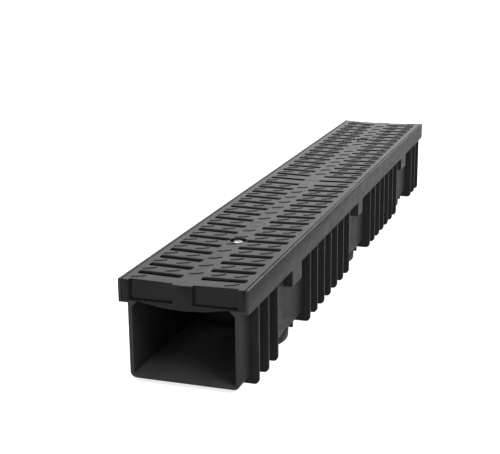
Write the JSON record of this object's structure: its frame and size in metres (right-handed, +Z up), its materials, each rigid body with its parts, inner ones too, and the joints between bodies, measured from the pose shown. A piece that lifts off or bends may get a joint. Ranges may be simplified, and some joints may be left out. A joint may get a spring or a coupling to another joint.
{
  "type": "drainage channel",
  "caption": "Straight moulded drainage channel: ribbed trough with round outlet sockets, covered by slotted gratings bolted to fixing strips in side pockets.",
  "frame": {"origin": "on the ground under the middle of the channel, the centre of the bounding box's base", "axes": "+X across the channel, +Y along it from the near end of the picture to the far end, +Z up"},
  "size_m": [0.145, 1, 0.115],
  "materials": {
    "channel_plastic": "black moulded plastic, satin outside",
    "grating_plastic": "black glass-filled moulded plastic, fine mottled grain",
    "fixing_steel": "stainless steel, dull"
  },
  "bodies": {
    "root": {"channel_body": "channel_plastic", "grating_front": "grating_plastic", "grating_rear": "grating_plastic", "bolt_front": "fixing_steel", "bolt_rear": "fixing_steel", "washer_front": "fixing_steel", "washer_rear": "fixing_steel", "fixing_strip_front": "fixing_steel", "fixing_strip_rear": "fixing_steel", "nut_front": "fixing_steel", "nut_rear": "fixing_steel"}
  },
  "joints": []
}
